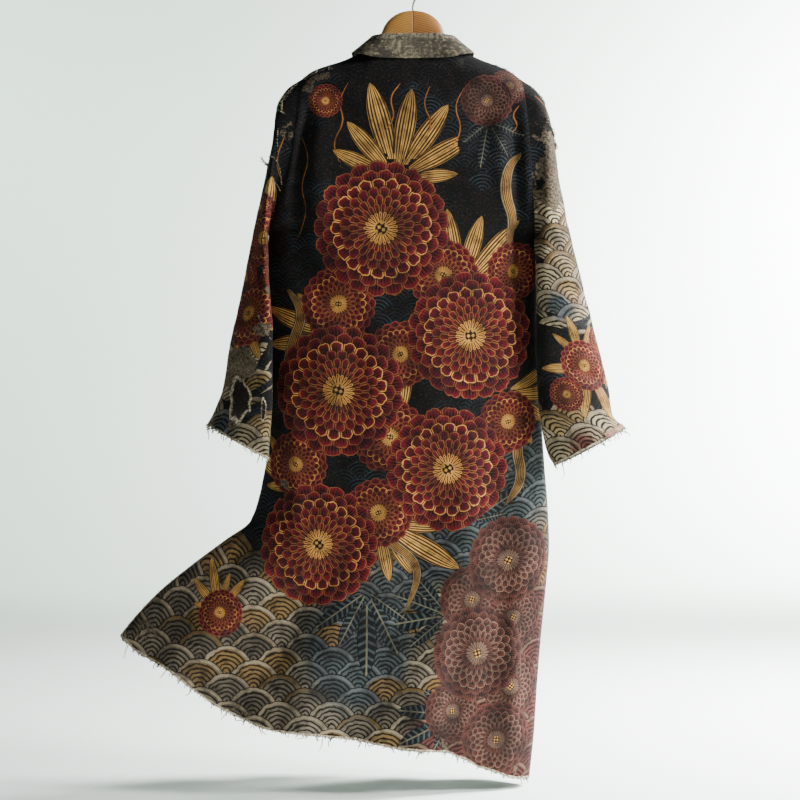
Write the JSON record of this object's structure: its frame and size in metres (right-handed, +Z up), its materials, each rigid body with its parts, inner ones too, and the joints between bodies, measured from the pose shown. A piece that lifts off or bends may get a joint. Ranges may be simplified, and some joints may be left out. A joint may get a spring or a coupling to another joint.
{
  "type": "long kimono on a hanger",
  "caption": "Long kimono coat with narrow open sleeves and a folded collar band, hanging open in front on a wooden hanger whose wire hook takes a rail.",
  "frame": {"origin": "inside top of the hanger's hook, where the rail carries it", "axes": "+Z up, -Y out of the back of the coat that the picture shows, +X to the right of that view"},
  "size_m": [0.876, 0.2358, 1.4143],
  "materials": {
    "figured_cloth": "matte heavy cloth, dark ground with crimson, gold and cream figures",
    "sleeve_cloth": "matte heavy cloth, dark ground with slate, cream and gold figures, worn",
    "collar_cloth": "matte, mottled and worn",
    "hanger_wood": "satin varnish",
    "hook_wire": "dull drawn wire"
  },
  "bodies": {
    "root": {"back": "figured_cloth", "front_left": "figured_cloth", "front_right": "figured_cloth", "sleeve_left_back": "sleeve_cloth", "sleeve_left_front": "sleeve_cloth", "sleeve_right": "sleeve_cloth", "collar": "collar_cloth", "hanger": "hanger_wood", "hook": "hook_wire"}
  },
  "joints": []
}
